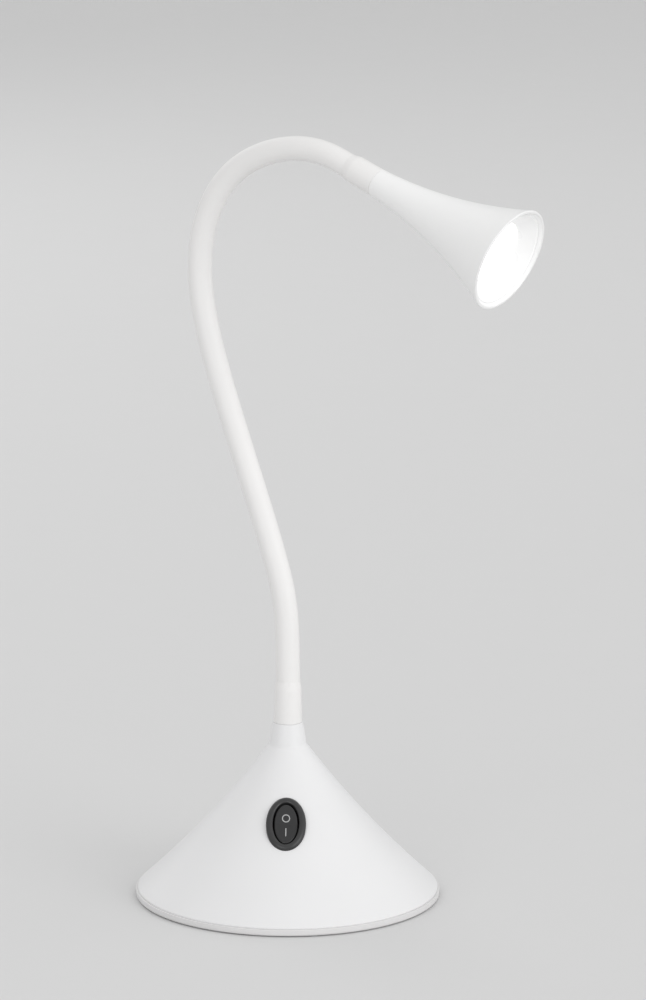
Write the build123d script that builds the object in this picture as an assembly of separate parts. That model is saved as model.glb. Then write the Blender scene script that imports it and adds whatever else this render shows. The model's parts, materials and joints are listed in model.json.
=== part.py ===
from build123d import *
import math
import os

os.makedirs("parts", exist_ok=True)

# Desk lamp: a flared round base with a rocker switch, a bendable neck and a trumpet-shaped head.
# Millimetres. The origin is the base's centre on the table, +Z is up and -Y is the switch's side.

# Clearances
seat_gap = 0.3        # between pieces that are not meant to touch
slip_gap = 0.05       # radial, for a piece pushed into a bore
screw_gap = 0.1       # radial, for a screw in its clearance hole
cut_past = 1.0        # how far a cut runs past the face that it opens

# Base
base_d = 120.0        # bottom cover, the widest place
cover_lift = 0.3      # the cover's edge clears the table by this
cover_edge = 2.8      # height of the cover's visible edge
cover_round = 1.0     # rounding of that edge at its bottom
cover_top_round = 0.6
seam = 0.2            # shadow line between the cover and the shell
cover_step = 0.9      # rise of the cover's floor inside the shell
foot_inset = 0.6      # the shell's foot is this much smaller in radius than the cover
slope_h = 58.0        # height of the concave slope
slope_sag = 1.95      # how far the slope hangs in from its chord
neck_foot_d = 14.7    # diameter where the slope ends in the collar
foot_round = 1.1      # rounding of the shell's foot
collar_h = 8.8
collar_top_d = 11.8
collar_blend = 3.0    # rounding between slope and collar
shell_wall = 2.2
pad_d = 104.0
pad_t = 1.6

# Ballast and the screws under the base
ballast_d = 80.0
ballast_t = 9.5
ballast_notch_w = 13.0
ballast_notch_l = 13.0
cover_screw_circle = 92.0
cover_screw_d = 2.9
cover_screw_l = 9.0
ballast_screw_circle = 56.0
ballast_screw_d = 3.9
ballast_screw_l = 8.0
screw_count = 3
screw_start_deg = 30.0
boss_wall = 2.0       # plastic round a cover screw

# Cable inlet at the back
inlet_bore_d = 6.2
bush_wall = 0.95
bush_flange = 1.2     # how far the flange stands out from the bush
bush_flange_t = 1.5
bush_l = 12.0         # from the flange's seat to the outer end
bush_end = 4.0        # the outer end stays this far inside the base's edge
inlet_boss_wall = 1.1

# Collar fixing
stud_d = 8.0
stud_bore_d = 4.4
seat_depth = 9.3      # the washer's seat, below the top of the slope
washer_d = 17.0
washer_t = 1.2
nut_across_flats = 13.0
nut_t = 5.0
stud_tail = 1.2       # stud past the nut

# Neck
neck_azimuth = -33.5  # the neck's upright plane, degrees from +X
segment_l = 22.0
segment_turns = (2.7, 15.0, 3.5, 0.4, -0.6, -2.4, -7.6, -17.7, -24.9, -29.0, -22.5, -28.6)
sleeve_d = 9.4
sleeve_wall = 0.97
coil_wall = 1.5       # steel coil inside the sleeve
wire_d = 2.8          # two-core wire inside the coil
joint_gap = 0.15      # half the space between two neck segments, at their centre
wire_rise = 7.0       # from the driver board up to the wire's first bend
wire_drop = 5.0       # from the nut's tail down to its second bend
wire_bend = 6.0
wire_inset = 2.0      # from the board's front edge to the wire

# Travel of the neck's joints, degrees: to each side, or back and forward
sway_reach = 9.0
lean_back = 9.0
lean_forward = 9.0
arch_straighten = 20.0
arch_curl = 6.0
pan_reach = 24.0

# Cuffs and ferrules
neck_foot_l = 15.6    # straight stretch of the neck above the collar
neck_head_l = 19.0    # straight stretch of the neck before the head
cuff_l = 16.8
cuff_foot_d = 11.1
cuff_top_d = 10.4
cuff_round = 0.2      # edge on the collar or the head
cuff_shoulder_l = 3.1
cuff_tip_wall = 0.15
cuff_grip = 7.4       # sleeve inside a cuff
head_cuff_l = 13.2
head_cuff_start_d = 10.8
head_cuff_end_d = 10.9
ferrule_flange_t = 2.2
ferrule_stud_l = 11.6

# Head
head_l = 64.6
head_seam_d = 11.0
mouth_d = 41.9
head_sag = 3.1
head_wall = 1.7
lip_w = 1.3
lip_depth = 1.2
lip_round = 0.45
disc_depth = 6.5      # the diffuser's face, behind the mouth
diffuser_d = 24.4
diffuser_t = 1.5
light_well = 6.4      # from the light-emitting diodes' board to the diffuser
reflector_wall = 1.0
dish_bow = 0.15       # how far the dish's face bows out from its chord, each way
led_board_t = 1.6
sink_flange_t = 2.0
sink_l = 10.0
sink_d = 14.0
sink_bore_d = 4.0
fin_slot_w = 1.2
fin_count = 8
shelf_t = 4.0
led_screw_d = 1.9
led_screw_l = 6.0
led_screw_circle = 17.6
led_head_d = 3.2
led_head_h = 1.1
led_w = 2.8
led_t = 0.8
led_ring_d = 10.0
led_ring_count = 8

# Switch
switch_z = 35.95      # height of its centre on the slope
rocker_w = 9.35
rocker_l = 16.0
rocker_gap_x = 0.5
rocker_gap_y = 0.85
switch_wall_x = 1.2
switch_wall_y = 1.0
bezel_w = 15.6
bezel_l = 22.6
bezel_t = 2.2
bezel_round = 1.1
pocket_depth = 0.8
switch_h = 11.0       # body behind the bezel
switch_floor = 1.2
snap_h = 0.5
snap_l = 1.8
rocker_tilt = 6.0     # to each side of level
rocker_fold = 9.0     # slope of each half of its face
rocker_rise = 0.1     # valley of the rocker's face above the slope
rocker_skirt = 3.6
pivot_depth = 3.0
pin_d = 1.6
pin_reach = 0.6       # how far a pin goes into the housing's wall
stem_d = 4.4
stem_l = 2.6
plunger_d = 2.6
plunger_l = 4.2
plunger_round = 1.2   # rounding of its tip
plunger_gap = 0.3     # tip to contact bar, with the rocker level
spring_wall = 0.5
spring_room = 2.6     # length of the spring above the plunger
contact_l = 12.0
contact_w = 3.0
contact_t = 0.5
contact_tilt = 4.5
terminal_w = 4.0
terminal_t = 0.8
terminal_l = 5.5
terminal_pitch = 5.2
legend_depth = 0.2
legend_ring_d = 3.1
legend_bar_l = 3.5
legend_stroke = 0.4
legend_ring_y = 2.6   # from the rocker's middle
legend_bar_y = 3.25

# Driver board
driver_l = 44.0
driver_w = 26.0
driver_t = 1.6
driver_front = 3.0    # front edge behind the base's axis
standoff_h = 3.6
standoff_d = 4.5
standoff_stud = 4.0
driver_screw_d = 2.0
driver_screw_l = 4.0
driver_head_h = 1.4
corner_inset = 3.0
transformer_l = 16.0
transformer_w = 14.0
transformer_h = 13.0
transformer_x = -8.0
transformer_window = 0.6   # share of the ferrite frame that its window takes, each way
bobbin_share = 0.5         # share of the frame's length that the bobbin takes
capacitor_d = 8.0
capacitor_h = 10.0
capacitor_x = 12.0
capacitor_pitch = 9.0
capacitor_round = 0.7
capacitor_inset = 4.0      # from the board's front edge
terminal_block_l = 12.0
terminal_block_w = 7.0
terminal_block_h = 9.0
terminal_inset = 0.5  # from the board's back edge
terminal_mouth = 2.0  # opening for a wire
lead_d = 1.4
lead_straight = 3.0   # behind a terminal, before the first bend
lead_run = 5.0        # level run to above its pad
lead_bends = (1.2, 1.2, 1.6)
lead_pads = (-6.0, -12.0)
lead_rises = (3.4, 7.5)


def hanging_arc(start, end, sag):
    """Centre and radius of the arc between two (radius, height) points that sags towards the axis."""
    across, up = end[0] - start[0], end[1] - start[1]
    chord = math.hypot(across, up)
    out = (abs(up) / chord, -across / chord if up > 0 else across / chord)
    radius = chord ** 2 / (8 * sag) + sag / 2
    reach = radius - sag
    middle = ((start[0] + end[0]) / 2, (start[1] + end[1]) / 2)
    return middle[0] + reach * out[0], middle[1] + reach * out[1], radius


def arc_radius(arc, height, depth=0.0):
    """Radius at a height of the surface that lies a depth inside the sagging arc."""
    return arc[0] - math.sqrt((arc[2] + depth) ** 2 - (height - arc[1]) ** 2)


def arc_edge(arc, low, high, depth=0.0):
    """Edge of the sagging arc between two heights: the flat parabola through its ends and middle."""
    start, middle, end = [
        Vector(arc_radius(arc, height, depth), height) for height in (low, (low + high) / 2, high)
    ]
    return Bezier(start, middle * 2 - (start + end) / 2, end)


def spun(*edges):
    """Solid of revolution about Z of the closed outline that the edges make."""
    return revolve(Plane.XZ * make_face(Wire(edges)), Axis.Z)


def turned(*points):
    """Solid of revolution about Z of a closed outline of (radius, height) points."""
    return revolve(Plane.XZ * make_face(Polyline(*points, close=True)), Axis.Z)


def disc(radius, low, high):
    """Upright cylinder between two heights."""
    return Pos(0, 0, low) * extrude(Circle(radius), high - low)


def ring(outer, inner, low, high):
    """Upright tube between two heights."""
    return Pos(0, 0, low) * extrude(Circle(outer) - Circle(inner), high - low)


def rims(solid, radius, height):
    """Circular edges of a turned solid at one radius and height."""
    edges = solid.edges().filter_by(GeomType.CIRCLE)
    return edges.filter_by(lambda edge: abs(edge.radius - radius) + abs(edge.center().Z - height) < 0.02)


def oval(width, length, low, high):
    """Upright oval prism between two heights."""
    return Pos(0, 0, low) * extrude(Ellipse(width / 2, length / 2), high - low)


def wire_tube(points, radii, diameter):
    """Round wire along straight runs joined by arcs."""
    path = FilletPolyline(*points, radius=radii)
    start = Plane(origin=path @ 0, z_dir=path % 0)
    return sweep(start * Circle(diameter / 2), path)


def copies(places, shape):
    """One group of like pieces, a separate solid at each place."""
    return Compound(children=[place * shape for place in places])


def save(name, shape):
    """Write one piece, or one group of like pieces."""
    shape.label = name
    export_step(shape, os.path.join("parts", name + ".step"))


# Heights of the base
cover_top = cover_lift + cover_edge
floor_z = cover_top + cover_step
foot_z = cover_top + seam
foot_r = base_d / 2 - foot_inset
slope_top = foot_z + slope_h
collar_top = slope_top + collar_h
seat_z = slope_top - seat_depth
slope = hanging_arc((foot_r, foot_z), (neck_foot_d / 2, slope_top), slope_sag)
ballast_top = floor_z + ballast_t
driver_z = ballast_top + standoff_h
driver_top = driver_z + driver_t


def spaced(diameter):
    """Places of the screws under the base."""
    return PolarLocations(diameter / 2, screw_count, start_angle=screw_start_deg)


# Cable inlet, just above the cover's floor
bush_r = inlet_bore_d / 2 + bush_wall
bush_seat = base_d / 2 - bush_end - bush_l
inlet_z = floor_z + seat_gap + bush_r + bush_flange


def inlet_frame(distance):
    """Frame at a distance behind the base's axis, looking out along the cable inlet."""
    return Plane(origin=(0, distance, inlet_z), x_dir=(1, 0, 0), z_dir=(0, 1, 0))


def screw(diameter, length, head_h):
    """Countersunk screw, its head's flat face at height 0 and its shank upwards."""
    head_r = diameter / 2 + head_h
    points = ((0, 0), (head_r, 0), (diameter / 2, head_h), (diameter / 2, length), (0, length))
    return turned(*points)


def countersink(diameter, head_h, depth):
    """Hole for such a screw, open below its head."""
    shank = diameter / 2 + screw_gap
    head_r = diameter / 2 + head_h + screw_gap
    below = -depth
    above = 4 * head_h
    return turned((0, below), (head_r, below), (head_r, 0), (shank, head_h), (shank, above), (0, above))


# Screws under the base: heads sunk in the cover, above the pad
screw_face = pad_t + screw_gap
cover_head_h = cover_screw_d / 2
ballast_head_h = ballast_screw_d / 2 - seat_gap


def foot_pad():
    """Soft disc that the lamp stands on."""
    return disc(pad_d / 2, 0, pad_t)


def bottom_cover():
    """Round floor of the base, with a recess for the pad below and a step inside the shell."""
    edge = disc(base_d / 2, cover_lift, cover_top)
    edge = fillet(rims(edge, base_d / 2, cover_lift), cover_round)
    edge = fillet(rims(edge, base_d / 2, cover_top), cover_top_round)
    step_r = arc_radius(slope, floor_z, shell_wall) - seat_gap
    body = edge + disc(step_r, cover_top - seam, floor_z)
    body -= disc(pad_d / 2 + seat_gap, cover_lift - cut_past, pad_t)
    cover_hole = Pos(0, 0, screw_face) * countersink(cover_screw_d, cover_head_h, screw_gap)
    ballast_hole = Pos(0, 0, screw_face) * countersink(ballast_screw_d, ballast_head_h, screw_gap)
    return body - spaced(cover_screw_circle) * cover_hole - spaced(ballast_screw_circle) * ballast_hole


def cover_screws():
    """Screws that hold the cover to the shell's bosses."""
    one = Pos(0, 0, screw_face) * screw(cover_screw_d, cover_screw_l, cover_head_h)
    return copies(spaced(cover_screw_circle), one)


def ballast_screws():
    """Screws that hold the ballast to the cover."""
    one = Pos(0, 0, screw_face) * screw(ballast_screw_d, ballast_screw_l, ballast_head_h)
    return copies(spaced(ballast_screw_circle), one)


def standoff_places():
    """Corners of the driver board where its standoffs are."""
    across = driver_l / 2 - corner_inset
    near = driver_front + corner_inset
    far = driver_front + driver_w - corner_inset
    return Locations((-across, near), (across, near), (-across, far), (across, far))


def ballast_plate():
    """Steel disc with a notch for the cable and threaded holes."""
    plate = disc(ballast_d / 2, floor_z, ballast_top)
    notch = Box(ballast_notch_w, ballast_notch_l, 2 * ballast_t)
    plate -= Pos(0, (ballast_d - ballast_notch_l) / 2 + cut_past, floor_z + ballast_t / 2) * notch
    hole = disc(ballast_screw_d / 2 + slip_gap, 0, ballast_screw_l + seat_gap)
    plate -= spaced(ballast_screw_circle) * (Pos(0, 0, screw_face) * hole)
    hole_low = ballast_top - standoff_stud - seat_gap
    stud_hole = disc(standoff_d / 4 + slip_gap, hole_low, ballast_top + cut_past)
    return plate - standoff_places() * stud_hole


def slope_frame():
    """Frame on the front slope at the switch's centre: x to the right, y up the slope, z outwards."""
    radius = arc_radius(slope, switch_z)
    outwards = (slope[0] - radius) / slope[2]
    upwards = (slope[1] - switch_z) / slope[2]
    return Plane(origin=(0, -radius, switch_z), x_dir=(1, 0, 0), z_dir=(0, -outwards, upwards))


switch_frame = slope_frame()
window_w = rocker_w + 2 * rocker_gap_x
window_l = rocker_l + 2 * rocker_gap_y
switch_w = window_w + 2 * switch_wall_x
switch_l = window_l + 2 * switch_wall_y
bezel_top = bezel_t - pocket_depth
switch_end = -pocket_depth - switch_h


def base_shell():
    """Hollow flared base with its collar, screw bosses, cable inlet and switch opening."""
    outer = spun(
        Line((0, foot_z), (foot_r, foot_z)),
        arc_edge(slope, foot_z, slope_top),
        Line((neck_foot_d / 2, slope_top), (collar_top_d / 2, collar_top)),
        Line((collar_top_d / 2, collar_top), (0, collar_top)),
        Line((0, collar_top), (0, foot_z)),
    )
    outer = fillet(rims(outer, foot_r, foot_z), foot_round)
    outer = fillet(rims(outer, neck_foot_d / 2, slope_top), collar_blend)
    outer = chamfer(rims(outer, collar_top_d / 2, collar_top), cuff_round)
    below = foot_z - seam
    hollow = spun(
        Line((0, below), (arc_radius(slope, below, shell_wall), below)),
        arc_edge(slope, below, seat_z, shell_wall),
        Line((arc_radius(slope, seat_z, shell_wall), seat_z), (0, seat_z)),
        Line((0, seat_z), (0, below)),
    )
    boss = disc(cover_screw_d / 2 + boss_wall, floor_z, floor_z + slope_h / 2)
    hollow -= spaced(cover_screw_circle) * boss
    hollow -= inlet_frame(bush_seat) * disc(bush_r + inlet_boss_wall, 0, bush_l)
    body = outer - hollow
    pilot = disc(cover_screw_d / 2 + slip_gap, 0, cover_screw_l + seat_gap)
    body -= spaced(cover_screw_circle) * (Pos(0, 0, screw_face) * pilot)
    body -= inlet_frame(bush_seat) * disc(bush_r + slip_gap, -cut_past, 2 * bush_l)
    body -= disc(stud_d / 2 + screw_gap, seat_z - cut_past, collar_top + cut_past)
    body -= switch_frame * oval(bezel_w + seat_gap, bezel_l + seat_gap, -pocket_depth, bezel_l)
    return body - switch_frame * oval(switch_w + seat_gap, switch_l + seat_gap, switch_end, 0)


def cable_bush():
    """Bush that lines the cable inlet, with a flange inside."""
    body = ring(bush_r, inlet_bore_d / 2, -bush_flange_t, bush_l)
    body += ring(bush_r + bush_flange, inlet_bore_d / 2, -bush_flange_t, 0)
    body = chamfer(rims(body, bush_r, bush_l), bush_wall / 2)
    return inlet_frame(bush_seat) * body


# Stations along the neck: distance out in its plane, height and heading in degrees
def arc_step(distance, height, heading, length, turn):
    """Station at the end of an arc that starts at the given one."""
    half = math.radians(turn / 2)
    chord = length * math.sin(half) / half if turn else length
    middle = math.radians(heading) + half
    return distance + chord * math.cos(middle), height + chord * math.sin(middle), heading + turn


def neck_point(station):
    """Place of a station in the part's frame."""
    azimuth = math.radians(neck_azimuth)
    return Vector(station[0] * math.cos(azimuth), station[0] * math.sin(azimuth), station[1])


def neck_direction(station):
    """Direction of the neck at a station."""
    return neck_point((math.cos(math.radians(station[2])), math.sin(math.radians(station[2]))))


def neck_frame(station):
    """Frame at a station: z along the neck, x level and square to the neck's plane."""
    azimuth = math.radians(neck_azimuth)
    side = (math.sin(azimuth), -math.cos(azimuth), 0)
    return Plane(origin=neck_point(station), x_dir=side, z_dir=neck_direction(station))


segment_count = len(segment_turns)
stations = [(0.0, collar_top + neck_foot_l, 90.0)]
for segment_turn in segment_turns:
    stations.append(arc_step(*stations[-1], segment_l, segment_turn))
head_station = arc_step(*stations[-1], neck_head_l, 0.0)
head_frame = neck_frame(head_station)
joint_travel = [max(sway_reach, lean_back, lean_forward)] * (segment_count // 2)
joint_travel += [max(arch_straighten, arch_curl)] * (segment_count - 2 - segment_count // 2)
joint_travel += [pan_reach]
sleeve_r = sleeve_d / 2
coil_r = sleeve_r - sleeve_wall - slip_gap
coil_bore = coil_r - coil_wall


def run_edge(start, length, turn=0.0):
    """Edge of the neck's centre line from a station, straight or one arc."""
    end = arc_step(*start, length, turn)
    if abs(turn) < 0.01:
        return Line(neck_point(start), neck_point(end))
    middle = arc_step(*start, length / 2, turn / 2)
    return ThreePointArc(neck_point(start), neck_point(middle), neck_point(end))


def neck_tube(number, outer, inner, run_in, run_out):
    """Tube along one neck segment, with straight runs into the cuffs at the neck's ends."""
    start = stations[number - 1]
    edges = [run_edge(start, segment_l, segment_turns[number - 1])]
    if number == 1:
        start = arc_step(*start, -run_in, 0.0)
        edges.insert(0, run_edge(start, run_in))
    if number == segment_count:
        edges.append(run_edge(stations[-1], run_out))
    path = Wire(edges)
    section = neck_frame(start)
    return sweep(section * Circle(outer), path) - sweep(section * Circle(inner), path)


def joint_space(number, side):
    """Space kept clear at a joint: a shallow cone that lets the segments tilt without meeting."""
    reach = 2 * sleeve_r
    rise = reach * math.tan(math.radians(joint_travel[number - 1] / 2))
    points = ((0, -joint_gap), (reach, -joint_gap - rise), (reach, reach), (0, reach))
    space = turned(*[(radius, side * height) for radius, height in points])
    return neck_frame(stations[number]) * space


def neck_piece(number, outer, inner, run_in, run_out):
    """One segment of the sleeve or the coil, with its ends cut back at the joints."""
    body = neck_tube(number, outer, inner, run_in, run_out)
    if number > 1:
        body -= joint_space(number - 1, -1)
    if number < segment_count:
        body -= joint_space(number, 1)
    return body


def neck_sleeve(number):
    """Soft white sleeve."""
    sleeve_run_in = neck_foot_l - cuff_l + cuff_grip
    sleeve_run_out = neck_head_l - head_cuff_l + cuff_grip
    return neck_piece(number, sleeve_r, sleeve_r - sleeve_wall, sleeve_run_in, sleeve_run_out)


def neck_coil(number):
    """Wound steel tube inside the sleeve."""
    coil_run_in = neck_foot_l - ferrule_flange_t
    coil_run_out = neck_head_l - ferrule_flange_t
    return neck_piece(number, coil_r, coil_bore, coil_run_in, coil_run_out)


# Ferrules: flange, socket for the coil and hollow stud
ferrule_r = sleeve_r
cuff_bore = sleeve_r + slip_gap
socket_l = cuff_l - cuff_grip - ferrule_flange_t - slip_gap
head_socket_l = head_cuff_l - cuff_grip - ferrule_flange_t - slip_gap


def ferrule(socket, stud_r, stud_l):
    """Turned steel end of the neck, its flange's seat at height 0 and its stud downwards."""
    points = (
        (stud_bore_d / 2, -stud_l),
        (stud_r, -stud_l),
        (stud_r, 0),
        (ferrule_r, 0),
        (ferrule_r, ferrule_flange_t + socket),
        (coil_r + slip_gap, ferrule_flange_t + socket),
        (coil_r + slip_gap, ferrule_flange_t),
        (stud_bore_d / 2, ferrule_flange_t),
    )
    return turned(*points)


def lower_ferrule():
    """Ferrule whose stud goes down through the collar."""
    stud_l = collar_top - seat_z + washer_t + nut_t + stud_tail
    return Pos(0, 0, collar_top) * ferrule(socket_l, stud_d / 2, stud_l)


head_stud_r = head_seam_d / 2 - head_wall - slip_gap


def upper_ferrule():
    """Ferrule whose stud goes into the back of the head."""
    return head_frame * (Rot(180, 0, 0) * ferrule(head_socket_l, head_stud_r, ferrule_stud_l))


def cuff(seat_d, shoulder_d, length):
    """Tapered cuff from its seat at height 0 up to a thin tip that lies on the sleeve."""
    body = turned(
        (cuff_bore, 0),
        (seat_d / 2, 0),
        (shoulder_d / 2, length - cuff_shoulder_l),
        (cuff_bore + cuff_tip_wall, length),
        (cuff_bore, length),
    )
    return chamfer(rims(body, seat_d / 2, 0), cuff_round)


def lower_cuff():
    """Cuff on the collar that hides the neck's end."""
    return Pos(0, 0, collar_top) * cuff(cuff_foot_d, cuff_top_d, cuff_l)


def upper_cuff():
    """Cuff between the neck and the head."""
    return head_frame * (Rot(180, 0, 0) * cuff(head_cuff_end_d, head_cuff_start_d, head_cuff_l))


def neck_washer():
    """Washer under the collar's seat."""
    return ring(washer_d / 2, stud_d / 2 + screw_gap, seat_z - washer_t, seat_z)


def neck_nut():
    """Nut on the lower ferrule's stud."""
    top = seat_z - washer_t
    hexagon = RegularPolygon(nut_across_flats / 2, 6, major_radius=False)
    body = Pos(0, 0, top - nut_t) * extrude(hexagon, nut_t)
    return body - disc(stud_d / 2 + slip_gap, top - nut_t - cut_past, top + cut_past)


# Switch pieces, in the slope's frame
contact_z = -pocket_depth - switch_h + switch_floor + contact_t + seat_gap
plunger_tip = contact_z + contact_t + plunger_gap


def switch_housing():
    """Oval body with a raised bezel, a window for the rocker and sockets for its pins."""
    bezel = oval(bezel_w, bezel_l, -pocket_depth, bezel_top)
    top_edges = bezel.edges().group_by(Axis.Z)[-1]
    bezel = fillet(top_edges, bezel_round)
    body = bezel + oval(switch_w, switch_l, switch_end, -pocket_depth + slip_gap)
    snap_z = -pocket_depth - shell_wall - seat_gap - snap_l / 2
    for side in (-1, 1):
        body += Pos(0, side * switch_l / 2, snap_z) * Box(terminal_w, 2 * snap_h, snap_l)
    body -= oval(window_w, window_l, switch_end + switch_floor, bezel_top + cut_past)
    socket_l = window_w + 2 * (pin_reach + seat_gap)
    socket = Cylinder(pin_d / 2 + slip_gap, socket_l, rotation=(0, 90, 0))
    body -= Pos(0, 0, -pivot_depth) * socket
    slot = Box(terminal_w + 2 * slip_gap, terminal_t + 2 * slip_gap, 2 * switch_floor)
    for place in (-terminal_pitch, 0, terminal_pitch):
        body -= Pos(0, place, switch_end + switch_floor / 2) * slot
    return switch_frame * body


def rocker_level():
    """Rocker with its face level on both sides, about the slope's frame."""
    half = rocker_l / 2
    ends = half * math.tan(math.radians(rocker_fold)) + rocker_rise
    face = ((half, ends), (0, rocker_rise), (-half, ends))
    outline = Polyline((-half, -rocker_skirt), (half, -rocker_skirt), *face, close=True)
    slab = extrude(Plane.YZ * make_face(outline), rocker_w / 2, both=True)
    body = slab & oval(rocker_w, rocker_l, -rocker_skirt - cut_past, ends + cut_past)
    pins = Cylinder(pin_d / 2, window_w + 2 * pin_reach, rotation=(0, 90, 0))
    body += Pos(0, 0, -pivot_depth) * pins
    stem_end = -rocker_skirt - stem_l
    body += disc(stem_d / 2, stem_end, -rocker_skirt + slip_gap)
    spring_top = plunger_tip + plunger_l + spring_room
    return body - disc(plunger_d / 2 + slip_gap, stem_end - cut_past, spring_top)


def face_mark(place):
    """Frame on the rocker's face at a distance from its middle, up or down the slope."""
    angle = math.copysign(rocker_fold, place)
    height = abs(place) * math.tan(math.radians(rocker_fold)) + rocker_rise
    return Pos(0, place, height) * Rot(angle, 0, 0)


def rocker_body():
    """Rocker with its ring mark on the upper half and bar mark on the lower half, cut in."""
    body = rocker_level()
    ring_mark = ring(legend_ring_d / 2, legend_ring_d / 2 - legend_stroke, -legend_depth, legend_depth)
    bar_mark = Box(legend_stroke, legend_bar_l, 2 * legend_depth)
    return body - face_mark(legend_ring_y) * ring_mark - face_mark(-legend_bar_y) * bar_mark


def plunger():
    """Pin with a round tip that slides in the rocker's stem."""
    body = disc(plunger_d / 2, plunger_tip, plunger_tip + plunger_l)
    return fillet(rims(body, plunger_d / 2, plunger_tip), plunger_round)


def spring():
    """Small coil spring above the plunger, as a plain tube."""
    low = plunger_tip + plunger_l
    return ring(plunger_d / 2, plunger_d / 2 - spring_wall, low, low + spring_room)


def tilted(shape, angle, height):
    """Shape turned about a level axis at a height in the switch's frame."""
    return switch_frame * (Pos(0, 0, height) * Rot(angle, 0, 0) * Pos(0, 0, -height) * shape)


def contact_bar():
    """See-saw contact that the plunger tips."""
    bar = Box(contact_w, contact_l, contact_t)
    return tilted(Pos(0, 0, contact_z + contact_t / 2) * bar, -contact_tilt, contact_z)


def switch_terminals():
    """Three flat terminals through the body's floor, the middle one under the see-saw."""
    floor_top = switch_end + switch_floor
    drop = contact_l / 2 * math.sin(math.radians(contact_tilt)) + seat_gap
    pieces = []
    for place in (-terminal_pitch, 0, terminal_pitch):
        top = contact_z - 2 * slip_gap if place == 0 else contact_z - drop
        top = max(top, floor_top)
        height = top - switch_end + terminal_l
        pieces.append(Pos(0, place, top - height / 2) * Box(terminal_w, terminal_t, height))
    return switch_frame * Compound(children=pieces)


# Head pieces, in the head's frame: z from the seam to the mouth
head_arc = hanging_arc((head_seam_d / 2, 0), (mouth_d / 2, head_l), head_sag)
disc_face = head_l - disc_depth
disc_back = disc_face - diffuser_t
led_face = disc_back - light_well
led_back = led_face - led_board_t
shelf_face = led_back - sink_flange_t
led_board_r = arc_radius(head_arc, shelf_face, head_wall) - seat_gap
dish_r = mouth_d / 2 - lip_w - slip_gap
dish_edge = head_l - seat_gap
dish_seat = head_l - lip_depth


def head_shell():
    """Trumpet-shaped shell with a shelf for the light and a seat for the reflector."""
    outer = spun(
        Line((0, 0), (head_seam_d / 2, 0)),
        arc_edge(head_arc, 0, head_l),
        Line((mouth_d / 2, head_l), (0, head_l)),
        Line((0, head_l), (0, 0)),
    )
    outer = fillet(rims(outer, mouth_d / 2, head_l), lip_round)
    outer = chamfer(rims(outer, head_seam_d / 2, 0), cuff_round)
    back = ferrule_stud_l + seat_gap
    front = head_l - lip_depth / 2
    hollow = spun(
        Line((0, back), (arc_radius(head_arc, back, head_wall), back)),
        arc_edge(head_arc, back, front, head_wall),
        Line((arc_radius(head_arc, front, head_wall), front), (0, front)),
        Line((0, front), (0, back)),
    )
    shelf = ring(mouth_d, sink_d / 2 + seat_gap, shelf_face - shelf_t, shelf_face)
    body = outer - (hollow - shelf)
    body -= disc(mouth_d / 2 - lip_w, dish_seat, head_l + cut_past)
    body -= disc(head_stud_r + slip_gap, -cut_past, back + cut_past)
    pilot = disc(led_screw_d / 2 + slip_gap, led_face - led_screw_l - seat_gap, head_l)
    return head_frame * (body - PolarLocations(led_screw_circle / 2, 2) * pilot)


def reflector():
    """White dish from the lip in to the diffuser, with a tube back to the diodes' board."""
    tube_r = led_board_r
    bore = tube_r - reflector_wall
    step_r = diffuser_d / 2 + seat_gap / 2
    waist = disc_back - reflector_wall
    rear_r = arc_radius(head_arc, dish_seat, head_wall) - seat_gap
    neck_s = dish_seat - reflector_wall
    neck_r = arc_radius(head_arc, neck_s, head_wall) - seat_gap
    middle = ((step_r + dish_r) / 2 + dish_bow, (disc_face + dish_edge) / 2 - dish_bow)
    outline = (
        Line((bore, led_face), (tube_r, led_face)),
        Line((tube_r, led_face), (tube_r, waist - reflector_wall)),
        Line((tube_r, waist - reflector_wall), (step_r + reflector_wall, waist)),
        Line((step_r + reflector_wall, waist), (neck_r, neck_s)),
        Line((neck_r, neck_s), (rear_r, dish_seat)),
        Line((rear_r, dish_seat), (dish_r, dish_seat)),
        Line((dish_r, dish_seat), (dish_r, dish_edge)),
        ThreePointArc((dish_r, dish_edge), middle, (step_r, disc_face)),
        Line((step_r, disc_face), (step_r, disc_back)),
        Line((step_r, disc_back), (bore, disc_back)),
        Line((bore, disc_back), (bore, led_face)),
    )
    return head_frame * spun(*outline)


def diffuser():
    """Round milky window in front of the diodes."""
    return head_frame * disc(diffuser_d / 2, disc_back, disc_face)


def led_board():
    """Round board of the diodes."""
    body = disc(led_board_r, led_back, led_face)
    hole = disc(led_screw_d / 2 + screw_gap, led_back - cut_past, led_face + cut_past)
    return head_frame * (body - PolarLocations(led_screw_circle / 2, 2) * hole)


def led_emitters():
    """Diodes on the board: one in the middle and a ring."""
    chip = Pos(0, 0, led_face + led_t / 2) * Box(led_w, led_w, led_t)
    chips = [chip] + [place * chip for place in PolarLocations(led_ring_d / 2, led_ring_count)]
    return head_frame * Compound(children=chips)


def heat_sink():
    """Aluminium disc behind the diodes' board, with fins and a bore for the wires."""
    body = disc(led_board_r, shelf_face, led_back) + disc(sink_d / 2, shelf_face - sink_l, shelf_face)
    fin = Pos(sink_d / 2, 0, shelf_face - sink_l / 2) * Box(sink_d / 2, fin_slot_w, sink_l)
    body -= PolarLocations(0, fin_count, start_angle=180 / fin_count) * fin
    body -= disc(sink_bore_d / 2, shelf_face - sink_l - cut_past, led_back + cut_past)
    hole = disc(led_screw_d / 2 + screw_gap, shelf_face - cut_past, led_back + cut_past)
    return head_frame * (body - PolarLocations(led_screw_circle / 2, 2) * hole)


def led_screws():
    """Screws through the board and the heat sink's disc into the shelf."""
    body = disc(led_screw_d / 2, led_face - led_screw_l, led_face)
    body += disc(led_head_d / 2, led_face, led_face + led_head_h)
    return head_frame * copies(PolarLocations(led_screw_circle / 2, 2), body)


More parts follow.
